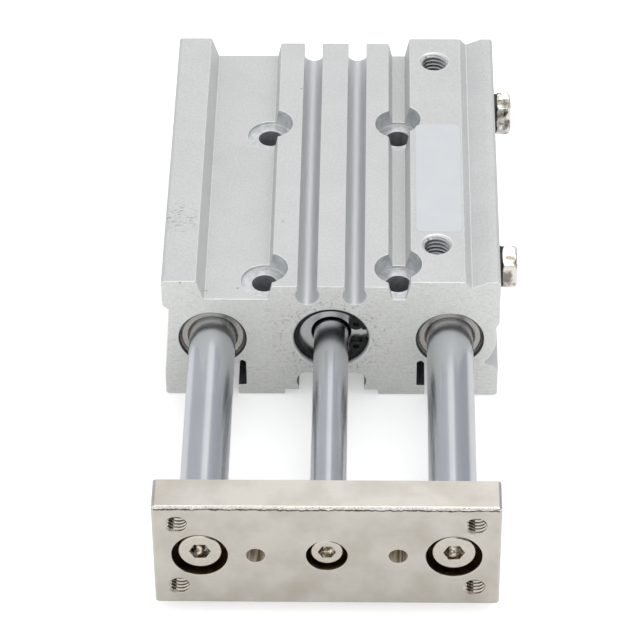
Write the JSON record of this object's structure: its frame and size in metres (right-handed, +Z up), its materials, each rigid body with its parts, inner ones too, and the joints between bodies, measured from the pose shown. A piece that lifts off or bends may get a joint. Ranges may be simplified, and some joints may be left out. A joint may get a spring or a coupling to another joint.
{
  "type": "guided pneumatic cylinder",
  "caption": "Compact pneumatic cylinder with a piston rod between two guide rods that carry a tooling plate, in a grooved aluminium body, 40 mm stroke.",
  "frame": {"origin": "centre of the four body mounting holes, on the plane of the feet", "axes": "+X across the rods towards the plugged side ports, +Y from the tooling plate back through the body, +Z up from the feet"},
  "size_m": [0.061, 0.1213, 0.026],
  "materials": {
    "anodised_body": "bead-blasted and clear anodised",
    "nickel_plate": "nickel plated, satin",
    "chromed_rod": "hard chromed and ground",
    "nickel_fastener": "nickel plated",
    "bright_aluminium": "turned and polished",
    "bronze_bush": "sintered bronze, oiled",
    "phosphated_steel": "black phosphated spring steel",
    "nitrile": "matt black",
    "urethane": "amber",
    "ferrite": "bonded magnet"
  },
  "bodies": {
    "cylinder": {"body_block": "anodised_body", "guide_bush_front_left": "bronze_bush", "guide_bush_front_right": "bronze_bush", "guide_bush_inner_left": "bronze_bush", "guide_bush_inner_right": "bronze_bush", "rod_collar": "bright_aluminium", "rod_seal": "nitrile", "collar_gasket": "nitrile", "collar_retaining_ring": "phosphated_steel", "head_cover": "bright_aluminium", "cover_gasket": "nitrile", "cover_retaining_ring": "phosphated_steel", "port_plug_front": "nickel_fastener", "port_plug_rear": "nickel_fastener", "plug_gasket_front": "nitrile", "plug_gasket_rear": "nitrile"},
    "carriage": {"tooling_plate": "nickel_plate", "guide_rod_left": "chromed_rod", "guide_rod_right": "chromed_rod", "piston_rod": "chromed_rod", "guide_bolt_left": "nickel_fastener", "guide_bolt_right": "nickel_fastener", "plate_bolt": "nickel_fastener", "piston": "bright_aluminium", "piston_seal": "nitrile", "piston_magnet": "ferrite", "magnet_holder": "bright_aluminium", "rod_side_bumper": "urethane", "head_side_bumper": "urethane"}
  },
  "joints": [
    {"name": "rod_slide", "type": "slide", "parent": "cylinder", "child": "carriage", "axis": [0, 1, 0], "range_m": [0, 0.04]}
  ]
}
